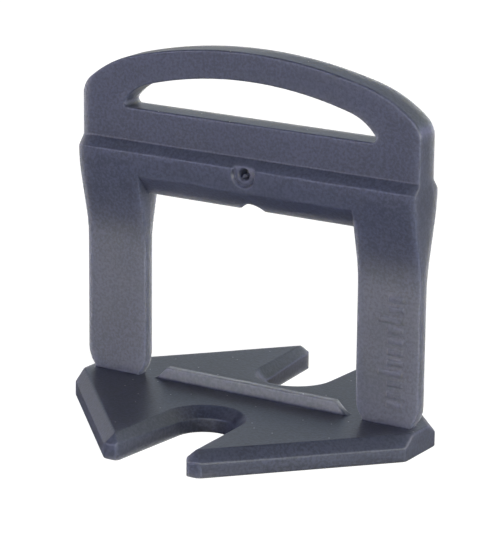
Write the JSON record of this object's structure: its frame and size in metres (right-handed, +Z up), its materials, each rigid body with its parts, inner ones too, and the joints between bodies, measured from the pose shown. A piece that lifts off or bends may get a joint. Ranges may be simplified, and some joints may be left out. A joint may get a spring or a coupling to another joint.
{
  "type": "tile levelling clip",
  "caption": "Moulded tile levelling clip: thin snap-off legs on a slotted base plate, a V-edged crossbar over a wedge window and an arched handle with a finger grip.",
  "frame": {"origin": "middle of the underside of the base plate", "axes": "+Z up from the base plate to the handle, +X from leg to leg, -Y towards the side with the gate recess"},
  "size_m": [0.0362, 0.0334, 0.0351],
  "materials": {
    "clip": "slate-grey moulded polypropylene, satin with a fine grain"
  },
  "bodies": {
    "root": {"clip": "clip"}
  },
  "joints": []
}
